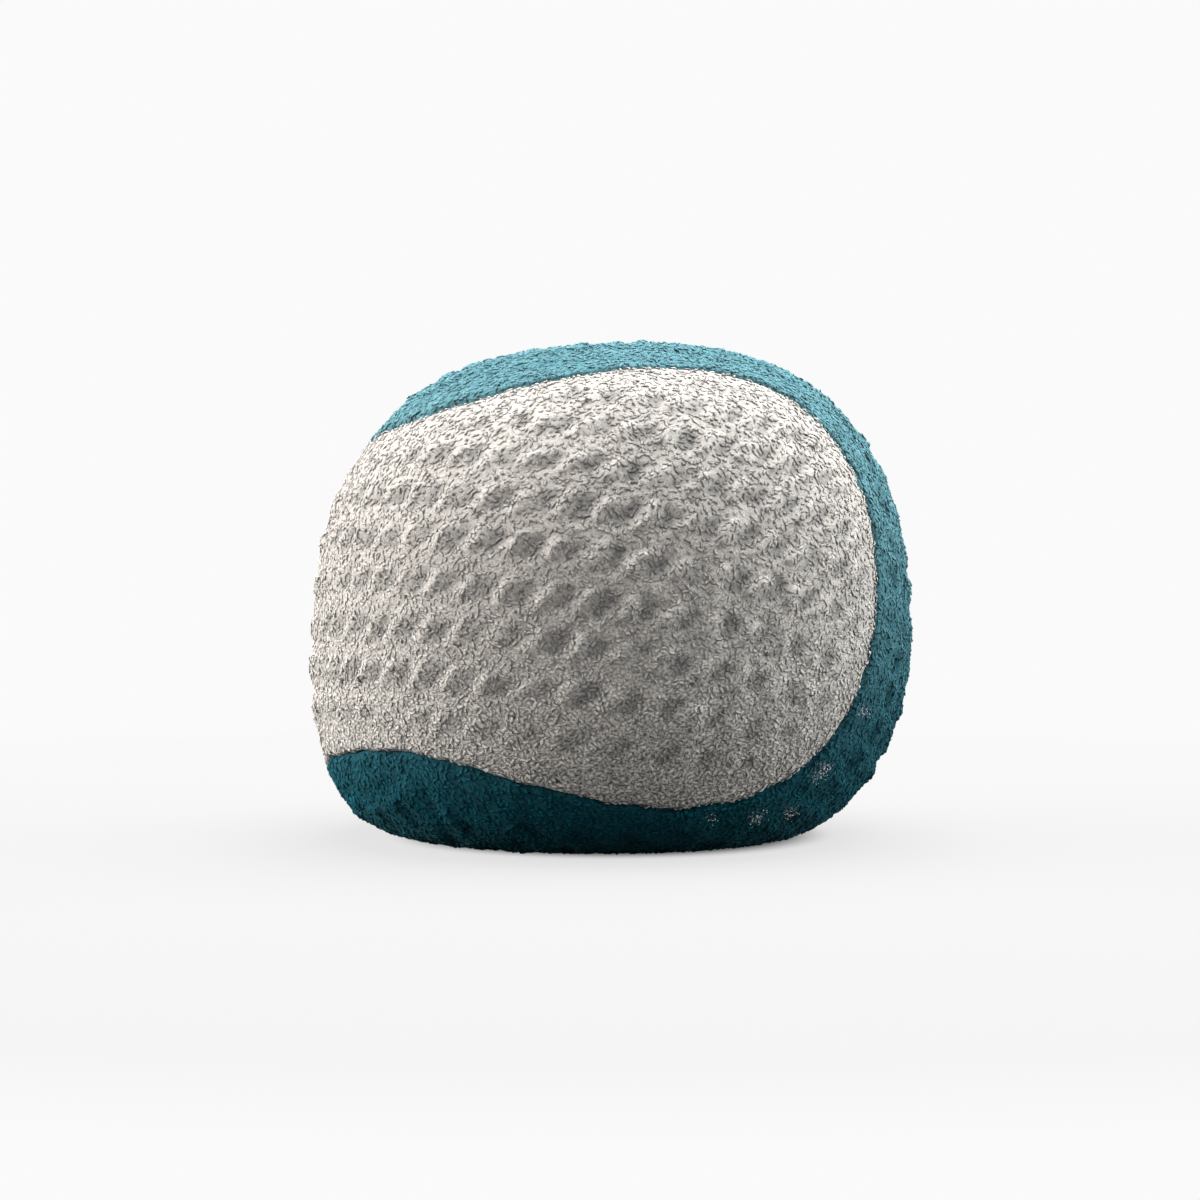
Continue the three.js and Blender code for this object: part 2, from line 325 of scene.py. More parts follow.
def swept_cloth(name, columns, rows, relief):
    """A closed cloth swept along the seam from rows of (side, distance, share, depth). The first and
    the last lie on a spine. Its relief moves the points along their normals."""
    turn = np.arange(columns) / columns * 2 * math.pi
    points, places, ways, grid = [], [], [], []
    count = 0
    for side, distance, share, depth in rows:
        point, direction, way = panel_row(side, turn, distance, share, depth)
        kept, order = point_numbers(side, columns, share == 1)
        along, across = side.grain(direction)
        points.append(point[kept] + to_frame)
        places.append(np.column_stack([along, across, np.full(columns, depth)])[kept])
        ways.append(way[kept])
        grid.append(count + order)
        count += kept.sum()
    points = np.vstack(points)
    places = np.vstack(places)
    ways = np.concatenate(ways)
    first_side = rows[0][0]
    mesh = bpy.data.meshes.new(name)
    mesh.from_pydata(points.tolist(), [], faces_between(np.array(grid), outwards=first_side.sign > 0))
    raise_relief(mesh, points, places, ways, relief)
    store(mesh, "way", ways)
    store(mesh, "cloth", places)
    mesh.transform(Matrix.Scale(mm, 4))
    return stand(name, mesh)


cover_cloth = 1.5
cover_allowance = 4.8
fold_radius = 0.7
seam_gap = 0.24
seam_edge = seam_gap / 2
allowance_depth = fold_radius + cover_allowance
field_start = 2.2
cover_columns = 800
cover_face_rows = 90
cover_brow_rows = 5
cover_fold_rows = 6
cover_back_rows = 9


def cover_rows(side):
    """Section of a cover panel: face, fold into the seam, allowance that stands inwards, and back."""
    inner = seam_edge + cover_cloth
    face = [(field_start, share, 0) for share in np.linspace(1, 0, cover_face_rows)]
    brow_distances = np.linspace(field_start, seam_edge + fold_radius, cover_brow_rows)
    brow = [(distance, 0, 0) for distance in brow_distances[1:-1]]
    fold = [
        (seam_edge + fold_radius * (1 - math.cos(angle)), 0, fold_radius * (1 - math.sin(angle)))
        for angle in np.linspace(math.pi / 2, 0, cover_fold_rows)
    ]
    allowance = [
        (seam_edge, 0, allowance_depth / 2),
        (seam_edge, 0, allowance_depth),
        (inner, 0, allowance_depth),
    ]
    corner = [(inner, 0, 2 * cover_cloth), (inner + cover_cloth / 2, 0, cover_cloth)]
    back = [
        (field_start + cover_cloth, share, cover_cloth)
        for share in np.linspace(0, 1, cover_back_rows)
    ]
    return [(side, *row) for row in face + brow + fold + allowance + corner + back]


cell_along = 4.85
cell_across = 5.45
cell_turn = math.radians(-8)
cell_lean = 0.5
cell_wander = 0.7
wander_length = 3.1

# Shares of a cell, counted from its middle, over which its hollow fades out. The rib beside it fades out
# across the cloth and rises along it.
hollow_across = (0.12, 0.38)
hollow_along = (0.06, 0.3)
rib_across = (0.14, 0.38)
rib_along = (0.32, 0.46)


def waffle_cell(places):
    """How far places lie, from 0 to 1, in the hollow of a cell and on the slanted rib beside it."""
    along = places[:, 0] * math.cos(cell_turn) + places[:, 1] * math.sin(cell_turn)
    across = places[:, 1] * math.cos(cell_turn) - places[:, 0] * math.sin(cell_turn)
    row = across / cell_across
    row_place = row - np.round(row)
    column = along / cell_along - cell_lean * row_place
    column_place = np.abs(column - np.round(column))
    hollow_row = 1 - smooth_step(np.abs(row_place), *hollow_across)
    rib_row = 1 - smooth_step(np.abs(row_place), *rib_across)
    hollow_column = 1 - smooth_step(column_place, *hollow_along)
    rib_column = smooth_step(column_place, *rib_along)
    return hollow_row * hollow_column, rib_row * rib_column


nub_height = 0.08
nub_size = 1.3
lump_size = 2.6
cell_strength = 1.1
cell_wear = 0.9
wear_size = 6.0
drift_apart = 50.0
pile_sink = 0.25
calm_way = (1.5, 7.5)
pressed_height = (0.5, 7.0)
pressed_relief = 0.35


def waffle_relief(depth, rib_height, lump_height):
    """Cells that fade toward the seam, show more or less wear from place to place, and are pressed flatter
    where the ball lies. The cloth lies low, to leave room for the tufts that stand on it."""

    def relief(points, places, ways):
        face = places[:, 2] < fold_radius
        drift = [
            lumps(places, wander_length),
            lumps(places + drift_apart, wander_length),
            0 * ways,
        ]
        hollow, rib = waffle_cell(places + cell_wander * np.column_stack(drift))
        wear_and_painted_light = cell_strength + cell_wear * lumps(places, wear_size)
        strength = smooth_step(ways, *calm_way) * face * wear_and_painted_light
        hollow *= strength
        height = lump_height * lumps(points, lump_size) + nub_height * lumps(points, nub_size)
        height += rib_height * rib * strength - depth * hollow
        free = smooth_step(points[:, 2], *pressed_height)
        return (height * mix(pressed_relief, 1, free) - pile_sink) * face, hollow

    return relief


class Value:
    """A number, colour or vector that changes over a surface. Arithmetic on numbers adds Math nodes."""

    def __init__(self, nodes, socket):
        self.nodes = nodes
        self.socket = socket

    def __add__(self, other):
        return self.nodes.math("ADD", self, other)

    def __sub__(self, other):
        return self.nodes.math("SUBTRACT", self, other)

    def __rsub__(self, other):
        return self.nodes.math("SUBTRACT", other, self)

    def __mul__(self, other):
        return self.nodes.math("MULTIPLY", self, other)

    __radd__ = __add__
    __rmul__ = __mul__


class Nodes:
    """Adds nodes to a node tree, and links them by the values that feed them."""

    def __init__(self, tree):
        self.tree = tree

    def node(self, kind, settings=None, inputs=None, output=0):
        node = self.tree.nodes.new(kind)
        for name, value in (settings or {}).items():
            setattr(node, name, value)
        for name, value in (inputs or {}).items():
            self.feed(node.inputs[name], value)
        return Value(self, node.outputs[output])

    def feed(self, socket, value):
        if isinstance(value, Value):
            self.tree.links.new(value.socket, socket)
        else:
            socket.default_value = value

    def math(self, operation, *values):
        return self.node("ShaderNodeMath", {"operation": operation}, dict(enumerate(values)))

    def vector_math(self, operation, *values):
        return self.node("ShaderNodeVectorMath", {"operation": operation}, dict(enumerate(values)))

    def blend(self, factor, first, second, mode="MIX"):
        settings = {"data_type": "RGBA", "blend_type": mode}
        return self.node("ShaderNodeMix", settings, {0: factor, 6: first, 7: second}, output=2)

    def between(self, value, start, end):
        settings = {"interpolation_type": "SMOOTHSTEP"}
        inputs = {"Value": value, "From Min": start, "From Max": end}
        return self.node("ShaderNodeMapRange", settings, inputs)

    def attribute(self, name, output):
        return self.node("ShaderNodeAttribute", {"attribute_name": name}, output=output)

    def axis(self, vector, name):
        return self.node("ShaderNodeSeparateXYZ", None, {0: vector}, name)

    def noise(self, place, per_mm, detail=2.0):
        return self.node("ShaderNodeTexNoise", None, {"Vector": place, "Scale": per_mm, "Detail": detail})

    def grey(self, value):
        return self.node("ShaderNodeCombineColor", None, {0: value, 1: value, 2: value})

    def bump(self, height, depth_in_mm, inputs=None):
        relief = {"Strength": 1.0, "Distance": depth_in_mm * mm, "Height": height}
        return self.node("ShaderNodeBump", None, relief | (inputs or {}))


class Finish(Nodes):
    """A material in the making, round one Principled shader whose even values are set at once."""

    def __init__(self, name, even_values):
        self.material = bpy.data.materials.new(name)
        self.material.use_nodes = True
        super().__init__(self.material.node_tree)
        self.shader = self.tree.nodes["Principled BSDF"]
        for socket, value in even_values.items():
            self.shader.inputs[socket].default_value = value

    def surface(self, changing_values):
        for socket, value in changing_values.items():
            self.feed(self.shader.inputs[socket], value)
        return self.material


# Height over which each pile colour changes from the underside to the crown: painted light and shade.
painted_light_height = 52.0
plain_light = 0.5
tone_light = 0.22
mottle_light = 0.4
mottle_per_mm = 0.45
clump_light = 0.4
clump_per_mm = 1.2


def pile_shader(name, pile):
    return Finish(name, {
        "Roughness": 0.95,
        "Specular IOR Level": pile["gloss"],
        "Sheen Weight": pile["sheen"],
        "Sheen Roughness": 0.5,
        "Sheen Tint": pile["sheen_tint"],
    })


def pile_colour(finish, pile, cloth, unshaded_share, tone):
    """Dark feet and pale tips, darker in the cells and mottled. The dark feet are painted shade in the
    crevices between the tufts, and the darker cells are painted shade in the hollows of the waffle. The pair
    of colours for each runs with height from the underside to the crown, as painted light and shade."""
    height = finish.axis(finish.node("ShaderNodeTexCoord", output="Object"), "Z")
    # Painted light and shade by height: the colours run from the dim underside to the lit crown.
    wear_and_painted_light = finish.between(height, 0.0, painted_light_height * mm)
    tips = finish.blend(wear_and_painted_light, *pile["tips"])
    feet = finish.blend(wear_and_painted_light, *pile["feet"])
    mottle = finish.noise(cloth, mottle_per_mm)
    clump = finish.noise(cloth, clump_per_mm, detail=1.0)
    light = finish.grey(plain_light + tone_light * tone + mottle_light * mottle + clump_light * clump)
    toned = finish.blend(1.0, finish.blend(unshaded_share, feet, tips), light, "MULTIPLY")
    # Darker in the waffle's hollows: painted shade.
    return finish.blend(finish.attribute("hollow", "Fac"), toned, pile["hollow"], "MULTIPLY")


knit_per_mm = 3.0
knit_unshaded = (0.35, 0.65)
ground_cover = 0.8
knit_relief = 0.12


def ground_finish(name, pile):
    """The knitted ground and the feet of the tufts, seen in the crevices between them. It is mostly the dark
    feet colour: painted shade in the crevices.
    """
    finish = pile_shader(name, pile)
    cloth = finish.attribute("cloth", "Vector")
    knit = finish.noise(cloth, knit_per_mm, detail=3.0)
    # Mostly the feet colour, dark as painted shade in the crevices.
    unshaded_share = ground_cover * finish.between(knit, *knit_unshaded)
    colour = pile_colour(finish, pile, cloth, unshaded_share, knit)
    return finish.surface({"Base Color": colour, "Normal": finish.bump(knit, knit_relief)})


def dress(piece, finish, slot, *nodes, fill=None):
    """Gives a piece its finish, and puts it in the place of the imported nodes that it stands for."""
    piece.data.materials.append(finish)
    if nodes:
        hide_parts(*nodes)
    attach(piece, "root")


tuft_cells = 129
tuft_tries = 4
tuft_spacing = 0.54
tuft_length = (0.56, 1.3)
tuft_width = (0.32, 0.6)
tuft_rise = (0.14, 0.26)
tuft_bend = 0.4
tuft_turn = 1.2
tuft_rough = 0.06
brow_lift = 0.1
brow_way = (0.6, 2.4)
brow_clump = 1.6
brow_clump_edge = (-0.3, 0.4)
tuft_ring = 0.4
tuft_points = 8
# How high each of a tuft's points stands, for its colour: the ends and the lower points get the dark feet
# colour, as painted shade.
height_in_tuft = (0.1, 1.0, 0.1, 0.1, 1.0, 0.1, 0.1, 0.1)


def evenly_apart(points, gap):
    """The numbers of the points that stay, so that no two of them are nearer than a gap."""
    tree = KDTree(len(points))
    for index, point in enumerate(points):
        tree.insert(point, index)
    tree.balance()
    kept = np.full(len(points), True)
    for index, point in enumerate(points):
        if kept[index]:
            near = [other for _, other, _ in tree.find_range(point, gap) if other > index]
            kept[near] = False
    return np.flatnonzero(kept)


class Sprinkle:
    """Spots spread evenly over the outer face of a cloth, one for each tuft."""

    def __init__(self, mesh, random):
        self.mesh = mesh
        corners = numbers(mesh.loops, "vertex_index").astype(int).reshape(-1, 4)
        depths = vectors(mesh.attributes["cloth"].data, "vector")[:, 2]
        self.corners = corners[depths[corners[:, 0]] < fold_radius / 2]
        points = vectors(mesh.vertices, "co") / mm
        first, second, third, fourth = (points[self.corners[:, i]] for i in range(4))
        areas = np.linalg.norm(np.cross(third - first, fourth - second), axis=1)
        tries = tuft_tries * tuft_cells ** 2
        self.faces = random.choice(len(areas), tries, p=areas / areas.sum())
        self.shares = random.random((2, tries, 1))
        kept = evenly_apart(self.over(points), tuft_spacing)[:tuft_cells ** 2]
        self.faces = self.faces[kept]
        self.shares = self.shares[:, kept]
        self.count = len(kept)
        self.points = self.over(points)
        self.normals = unit(self.over(vectors(mesh.vertex_normals, "vector")))

    def over(self, values):
        """The values of a cloth's points, worked out at each spot."""
        quad = values[self.corners[self.faces]]
        u, v = self.shares if quad.ndim == 3 else self.shares[:, :, 0]
        return mix(mix(quad[:, 0], quad[:, 3], u), mix(quad[:, 1], quad[:, 2], u), v)

    def number(self, name):
        return self.over(numbers(self.mesh.attributes[name].data, "value"))


def tuft_shapes(spots, across_axis, random):
    """Eight points for each tuft: a tip, two rings of three round a bent core, and a tip. The tufts lie
    every way, a little more along the grain. Those at the panel's edge stand over the seam in clumps."""
    up = spots.normals
    grain = unit(np.cross(across_axis, up))
    turn = random.normal(0, tuft_turn, (spots.count, 1))
    along = grain * np.cos(turn) + np.cross(up, grain) * np.sin(turn)
    aside = np.cross(up, along)
    spans = (tuft_length, tuft_width, tuft_rise)
    length, width, rise = (random.uniform(*span, (spots.count, 1)) for span in spans)
    bend = random.normal(0, tuft_bend, (spots.count, 1)) * length
    brow = 1 - smooth_step(spots.number("way"), *brow_way)
    clumped = smooth_step(lumps(spots.points, brow_clump), *brow_clump_edge)
    middle = spots.points + up * (brow_lift * brow * clumped)[:, None]

    def core(station):
        return middle + along * station * length / 2 + aside * bend * (0.5 - station ** 2)

    def ring(station):
        angles = math.pi / 2 + np.arange(3) * 2 * math.pi / 3
        centre = core(station) + up * rise / 4
        return [
            centre + aside * width / 2 * math.cos(angle) + up * rise / 2 * math.sin(angle)
            for angle in angles
        ]

    points = np.stack([core(-1), *ring(-tuft_ring), *ring(tuft_ring), core(1)], axis=1)
    points += random.normal(0, tuft_rough, points.shape)
    points[:, :, 2] = np.maximum(points[:, :, 2], 0)
    return points


map_rings = (0.3, 0.7)
map_margin = 0.1


def tuft_faces():
    """A tuft's twelve faces and their corners in its own cell of the map, cut open along one side. Each of
    three sides has a face at either tip and two between the rings."""
    low_ring, high_ring = map_rings
    faces, cell = [], []
    for i in range(3):
        after = (i + 1) % 3
        left, right, middle = i / 3, (i + 1) / 3, (i + 0.5) / 3
        near_left, near_right = (left, low_ring), (right, low_ring)
        far_left, far_right = (left, high_ring), (right, high_ring)
        faces += [(after + 1, i + 1, 0), (i + 1, after + 1, i + 4)]
        faces += [(after + 1, after + 4, i + 4), (7, i + 4, after + 4)]
        cell += [(near_right, near_left, (middle, 0)), (near_left, near_right, far_left)]
        cell += [(near_right, far_right, far_left), ((middle, 1), far_left, far_right)]
    return np.array(faces), np.array(cell) * (1 - 2 * map_margin) + map_margin


dusted_tufts = (0.2, 0.65)


def tufts_on(name, panel, across_axis, seed, dusted=None):
    """The tufts on a panel's face: small bent closed grains, about two to a square millimetre."""
    random = np.random.default_rng(seed)
    spots = Sprinkle(panel.data, random)
    points = tuft_shapes(spots, across_axis, random)
    faces, cell_map = tuft_faces()
    index = np.arange(spots.count)
    first = (index * tuft_points)[:, None, None]
    corners = (first + faces).reshape(-1, 3)
    mesh = bpy.data.meshes.new(name)
    mesh.from_pydata((points.reshape(-1, 3) * mm).tolist(), [], corners.tolist())
    dust = np.zeros(spots.count)
    if dusted:
        dust = dusted(spots.points) * random.uniform(*dusted_tufts, spots.count)
    place = spots.over(vectors(panel.data.attributes["cloth"].data, "vector"))
    detail = place[:, None] + points - spots.points[:, None]
    store(mesh, "cloth", detail.reshape(-1, 3))
    store(mesh, "cloth_normal", np.repeat(spots.normals, tuft_points, axis=0))
    store(mesh, "rise", np.tile(height_in_tuft, spots.count))
    store(mesh, "tone", np.repeat(random.random(spots.count), tuft_points))
    store(mesh, "hollow", np.repeat(spots.number("hollow"), tuft_points))
    store(mesh, "dust", np.repeat(dust, tuft_points))
    cell = np.column_stack([index % tuft_cells, index // tuft_cells])[:, None]
    places_in_map = (cell + cell_map.reshape(1, -1, 2)) / tuft_cells
    mesh.uv_layers.new(name="OFBake").data.foreach_set("uv", places_in_map.ravel())
    return stand(name, mesh)


fibres_per_mm = 8.0
fibre_spread = 0.5
fibre_relief = 0.02
tip_rise = (0.0, 0.28)
patches_per_mm = 0.8
patch_edge = (0.3, 0.6)
powder_white = (0.85, 0.86, 0.86, 1)


def tuft_finish(name, pile):
    """Fibres of a tuft, too fine to see one by one: they are shaded in part by the tuft's own shape, and in
    part as the cloth below them. Each tuft's ends and lower side take the dark feet colour, as painted
    shade. Powder lies on them in patches."""
    finish = pile_shader(name, pile)
    cloth = finish.attribute("cloth", "Vector")
    fibres = finish.noise(cloth, fibres_per_mm)
    rise = finish.attribute("rise", "Fac") + fibre_spread * (fibres - 0.5)
    # Low on the tuft its colour goes to the dark feet: painted shade.
    unshaded_share = finish.between(rise, *tip_rise)
    clean = pile_colour(finish, pile, cloth, unshaded_share, finish.attribute("tone", "Fac"))
    patches = finish.between(finish.noise(cloth, patches_per_mm, detail=4.0), *patch_edge)
    colour = finish.blend(finish.attribute("dust", "Fac") * patches, clean, powder_white)
    own = finish.node("ShaderNodeNewGeometry", output="Normal")
    own_share = finish.vector_math("MULTIPLY", own, (1 - pile["softness"],) * 3)
    below = finish.attribute("cloth_normal", "Vector")
    both = finish.vector_math("MULTIPLY_ADD", below, (pile["softness"],) * 3, own_share)
    bump = finish.bump(fibres, fibre_relief, {"Normal": finish.vector_math("NORMALIZE", both)})
    return finish.surface({"Base Color": colour, "Normal": bump})


grey_relief = waffle_relief(depth=0.18, rib_height=0.36, lump_height=0.08)
grey_panel = swept_cloth("cover_panel_grey_cloth", cover_columns, cover_rows(grey_side), grey_relief)
grey_pile = {
    # Each pair of colours runs from the underside to the crown. The change with height is painted light and
    # shade: the grey tips darken and its feet pale toward the lit crown.
    "tips": ((0.86, 0.828, 0.777, 1), (0.555, 0.526, 0.495, 1)),
    # The feet are painted shade in the crevices between the tufts.
    "feet": ((0.09, 0.086, 0.08, 1), (0.54, 0.512, 0.48, 1)),
    # The hollow colour darkens the cells: painted shade in the waffle's hollows.
    "hollow": (0.58, 0.59, 0.6, 1),
    "softness": 0.96,
    "sheen": 0.25,
    "sheen_tint": (1, 0.97, 0.93, 1),
    "gloss": 0.15,
}
grey_ground = ground_finish("grey_ground", grey_pile)
dress(grey_panel, grey_ground, "grey_microfibre", "cover_panel_grey", fill=0.8)
grey_tufts = tufts_on("cover_tufts_grey", grey_panel, seam_turn[:, 2], seed=1)
dress(grey_tufts, tuft_finish("grey_tufts", grey_pile), "grey_microfibre")

# Teal cover panel
# The other figure of eight, cut from the same microfibre dyed teal. Its lobes cover the crown and the
# underside, and its waist is at the right, where a little powder has come through the seam onto the pile.

teal_relief = waffle_relief(depth=0.28, rib_height=0.28, lump_height=0.28)
teal_panel = swept_cloth("cover_panel_teal_cloth", cover_columns, cover_rows(teal_side), teal_relief)
teal_pile = {
    # Each pair of colours runs from the underside to the crown. The change with height is painted light and
    # shade: the teal is darker on the shaded underside and paler toward the lit crown.
    "tips": ((0.001, 0.09, 0.125, 1), (0.14, 0.3, 0.34, 1)),
    # The feet are painted shade in the crevices between the tufts.
    "feet": ((0.001, 0.02, 0.029, 1), (0.065, 0.17, 0.205, 1)),
    # The hollow colour darkens the cells: painted shade in the waffle's hollows.
    "hollow": (0.5, 0.6, 0.62, 1),
    "softness": 0.82,
    "sheen": 0.1,
    "sheen_tint": (0.4, 0.9, 1, 1),
    "gloss": 0.03,
}

# The middle of each dusty spot from left to right and in height, and how far it spreads.
dust_spots = (
    (30.4, 17.0, 0.6),
    (25.6, 10.6, 0.6),
    (24.6, 9.8, 0.8),
    (21.5, 5.0, 0.7),
    (17.2, 4.8, 0.7),
    (11.8, 5.4, 0.5),
)


def dust_at(points):
    """How thickly powder lies, from 0 to 1, at points of the ball's front."""
    thickness = np.zeros(len(points))
    for x, z, spread in dust_spots:
        away = np.hypot(points[:, 0] - x, points[:, 2] - z)
        thickness += np.exp(-(away / spread) ** 2)
    return np.clip(thickness, 0, 1) * (points[:, 1] < 0)


teal_ground = ground_finish("teal_ground", teal_pile)
dress(teal_panel, teal_ground, "teal_microfibre", "cover_panel_teal", fill=0.8)
teal_tufts = tufts_on("cover_tufts_teal", teal_panel, seam_turn[:, 1], seed=2, dusted=dust_at)
dress(teal_tufts, tuft_finish("teal_tufts", teal_pile), "teal_microfibre")

# Machine threads
# Needle and bobbin thread of the lockstitch that joins the cover panels: two-ply polyester, grey on the
# grey allowance and teal on the teal one. Both lie inside the turned cover, tight at each hole and slack
# between.

clearance = 0.35
cover_thread = 0.5
cover_pitch = 3.8
cover_stitch_drop = 1.3
stitch_slack = 0.25
thread_tail = 3.0
closing_middle = math.radians(55)
closing_length = 30.0
thread_step = 0.25
seam_walk = 2000
ply_sides = 6
ply_lay = 4.0
ply_radius = 0.27
ply_tip = 0.4


class Stretch:
    """A stretch of the seam between two turns, walked at an even pace."""

    def __init__(self, start, end):
        self.turns = np.linspace(start, end, seam_walk)
        steps = np.linalg.norm(np.diff(skin(seam_direction(self.turns)), axis=0), axis=1)
        self.lengths = np.concatenate([[0], np.cumsum(steps)])
        self.whole = self.lengths[-1]

    def turn_at(self, share):
        return np.interp(share * self.whole, self.lengths, self.turns)

    def shares(self, step):
        return np.linspace(0, 1, round(self.whole / step))


whole_seam = Stretch(closing_middle, closing_middle + 2 * math.pi)
half_opening = closing_length / 2 / whole_seam.whole
opening_start = whole_seam.turn_at(1 - half_opening) - 2 * math.pi
opening_end = whole_seam.turn_at(half_opening)
tail = thread_tail / whole_seam.whole * 2 * math.pi
machine_stretch = Stretch(opening_end - tail, opening_start + tail + 2 * math.pi)


def twisted_thread(name, path, diameter):
    """Two plies twisted round each other along a path, each a closed tube with tapered ends."""
    ahead = unit(np.gradient(path, axis=0))
    aside = unit(np.cross(ahead, path - heart))
    upward = np.cross(aside, ahead)
    steps = np.linalg.norm(np.diff(path, axis=0), axis=1)
    length = np.concatenate([[0], np.cumsum(steps)])
    around = np.linspace(0, 2 * math.pi, ply_sides, endpoint=False)
    cosine = np.cos(around)[None, :, None]
    sine = np.sin(around)[None, :, None]
    ring = aside[:, None] * cosine + upward[:, None] * sine
    thick = np.full(len(path), ply_radius * diameter)
    thick[[0, -1]] *= ply_tip
    points, places, faces = [], [], []
    for ply in range(2):
        twist = 2 * math.pi * length / (ply_lay * diameter) + ply * math.pi
        offset = aside * np.cos(twist)[:, None] + upward * np.sin(twist)[:, None]
        middle = path + to_frame + offset * diameter / 4
        points.append((middle[:, None] + ring * thick[:, None, None]).reshape(-1, 3))
        grid = np.stack(np.broadcast_arrays(length[:, None], around[None, :], float(ply)), axis=-1)
        places.append(grid.reshape(-1, 3))
        row = ply * len(path) + np.arange(len(path))
        index = row[:, None] * ply_sides + np.arange(ply_sides)
        faces += faces_between(index, outwards=True)
        faces += [index[0].tolist(), index[-1, ::-1].tolist()]
    mesh = bpy.data.meshes.new(name)
    mesh.from_pydata((np.vstack(points) * mm).tolist(), [], faces)
    store(mesh, "cloth", np.vstack(places))
    return stand(name, mesh)


def stitched_path(side, stretch, diameter, pitch, cloth_face, depth):
    """Machine stitches along an allowance: tight at each needle hole, slack between two holes."""
    share = stretch.shares(thread_step)
    slack = np.abs(np.sin(share * round(stretch.whole / pitch) * math.pi))
    distance = cloth_face + clearance + diameter / 2 + stitch_slack * slack
    return panel_row(side, stretch.turn_at(share), distance, 0, depth)[0]


filament_stretch = (1.2, 2.5, 7.0)
filaments_per_mm = 2.0
filament_pale = (0.3, 0.65)
filament_relief = 0.03


def spun_thread(name, light, dark):
    """Filaments that run along each ply, a little paler where they stand out and darker between them, as
    painted shade.
    """
    finish = Finish(name, {"Roughness": 0.55, "Specular IOR Level": 0.4, "Sheen Weight": 0.2})
    place = finish.vector_math("MULTIPLY", finish.attribute("cloth", "Vector"), filament_stretch)
    filament = finish.noise(place, filaments_per_mm, detail=3.0)
    # Paler on the filaments that stand out: painted shade between them.
    colour = finish.blend(finish.between(filament, *filament_pale), dark, light)
    return finish.surface({"Base Color": colour, "Normal": finish.bump(filament, filament_relief)})


grey_thread = spun_thread("grey_thread", light=(0.62, 0.6, 0.57, 1), dark=(0.36, 0.345, 0.33, 1))
teal_thread = spun_thread("teal_thread", light=(0.03, 0.16, 0.19, 1), dark=(0.008, 0.06, 0.08, 1))
cover_face = seam_edge + cover_cloth
cover_drop = fold_radius + cover_stitch_drop
machine_threads = (
    ("cover_needle_thread", grey_side, grey_thread, "grey_thread"),
    ("cover_bobbin_thread", teal_side, teal_thread, "teal_thread"),
)
for name, side, finish, slot in machine_threads:
    path = stitched_path(side, machine_stretch, cover_thread, cover_pitch, cover_face, cover_drop)
    dress(twisted_thread(name + "_plies", path, cover_thread), finish, slot, name)

# Closing thread
# Teal thread that closes the opening for the fill by hand: a ladder stitch from fold to fold in the
# valley of the seam, at the back of the ball.

closing_thread = 0.4
closing_pitch = 3.2
closing_swing = 0.2
closing_stretch = Stretch(opening_start, opening_end)
closing_share = closing_stretch.shares(thread_step / 2)
closing_stitches = round(closing_length / closing_pitch)
swing = closing_swing * np.sin(closing_share * closing_stitches * 2 * math.pi)
closing_turn = closing_stretch.turn_at(closing_share)
on_grey = panel_row(grey_side, closing_turn, np.abs(swing), 0, 0)[0]
on_teal = panel_row(teal_side, closing_turn, np.abs(swing), 0, 0)[0]
closing_path = np.where(swing[:, None] > 0, on_grey, on_teal)
closing_plies = twisted_thread("cover_closing_thread_plies", closing_path, closing_thread)
dress(closing_plies, teal_thread, "teal_thread", "cover_closing_thread")

# Pouch panels
# Two figures of eight of thin white cotton, cut from the same pattern as the cover. They hold the powder,
# dip round the cover's allowances, and turn in allowances of their own at the bottom of that groove.

pouch_cloth = 0.5
pouch_allowance = 3.0
pouch_fold = 0.5
pouch_shoulder = 0.3
packed_allowance = 5.8
groove_foot = 3.0
groove_mouth = 7.5
groove_steps = 8
pouch_columns = 420
pouch_rows_each = 34
pouch_face = cover_cloth + clearance
groove_depth = packed_allowance + clearance
pouch_end = groove_depth + pouch_fold + pouch_allowance
pouch_lumps = ((0.14, 4.0), (0.05, 1.4))
pouch_calm = 2.0


def field_rows(distance, depth, outwards=False):
    shares = np.linspace(0, 1, pouch_rows_each)
    return [(distance, share, depth) for share in (shares if outwards else shares[::-1])]


def groove_rows(mouth, foot, top, bottom):
    """The slope from the field of a panel into the groove that it leaves for the cover's allowances."""
    shares = np.linspace(0, 1, groove_steps + 1)[1:]
    return [
        (mix(mouth, foot, share), 0, mix(top, bottom, smooth_step(share, 0, 1)))
        for share in shares
    ]


def pouch_rows(side):
    """Section of a pouch panel: field, slope, fold, allowance, and the same way back along the inside."""
    inner = seam_edge + pouch_cloth
    slope = groove_rows(groove_mouth, groove_foot, pouch_face, groove_depth)
    turned = [
        (seam_edge + pouch_fold, 0, groove_depth),
        (seam_edge + pouch_fold * pouch_shoulder, 0, groove_depth + pouch_fold * pouch_shoulder),
        (seam_edge, 0, groove_depth + pouch_fold),
        (seam_edge, 0, pouch_end),
        (inner, 0, pouch_end),
        (inner, 0, groove_depth + pouch_cloth + pouch_fold / 2),
        (inner + pouch_fold / 2, 0, groove_depth + pouch_cloth),
    ]
    inside = [
        (distance + pouch_cloth / 2, 0, depth + pouch_cloth)
        for distance, _, depth in slope[::-1]
    ]
    outer_field = field_rows(groove_mouth, pouch_face)
    inner_field = field_rows(groove_mouth, pouch_face + pouch_cloth, outwards=True)
    return [(side, *row) for row in outer_field + slope + turned + inside + inner_field]


def pouch_relief(points, places, ways):
    """Powder presses soft lumps into the thin cloth, away from the seam."""
    height = sum(rise * lumps(points, size) for rise, size in pouch_lumps)
    return height * (ways > pouch_calm), np.zeros(len(points))


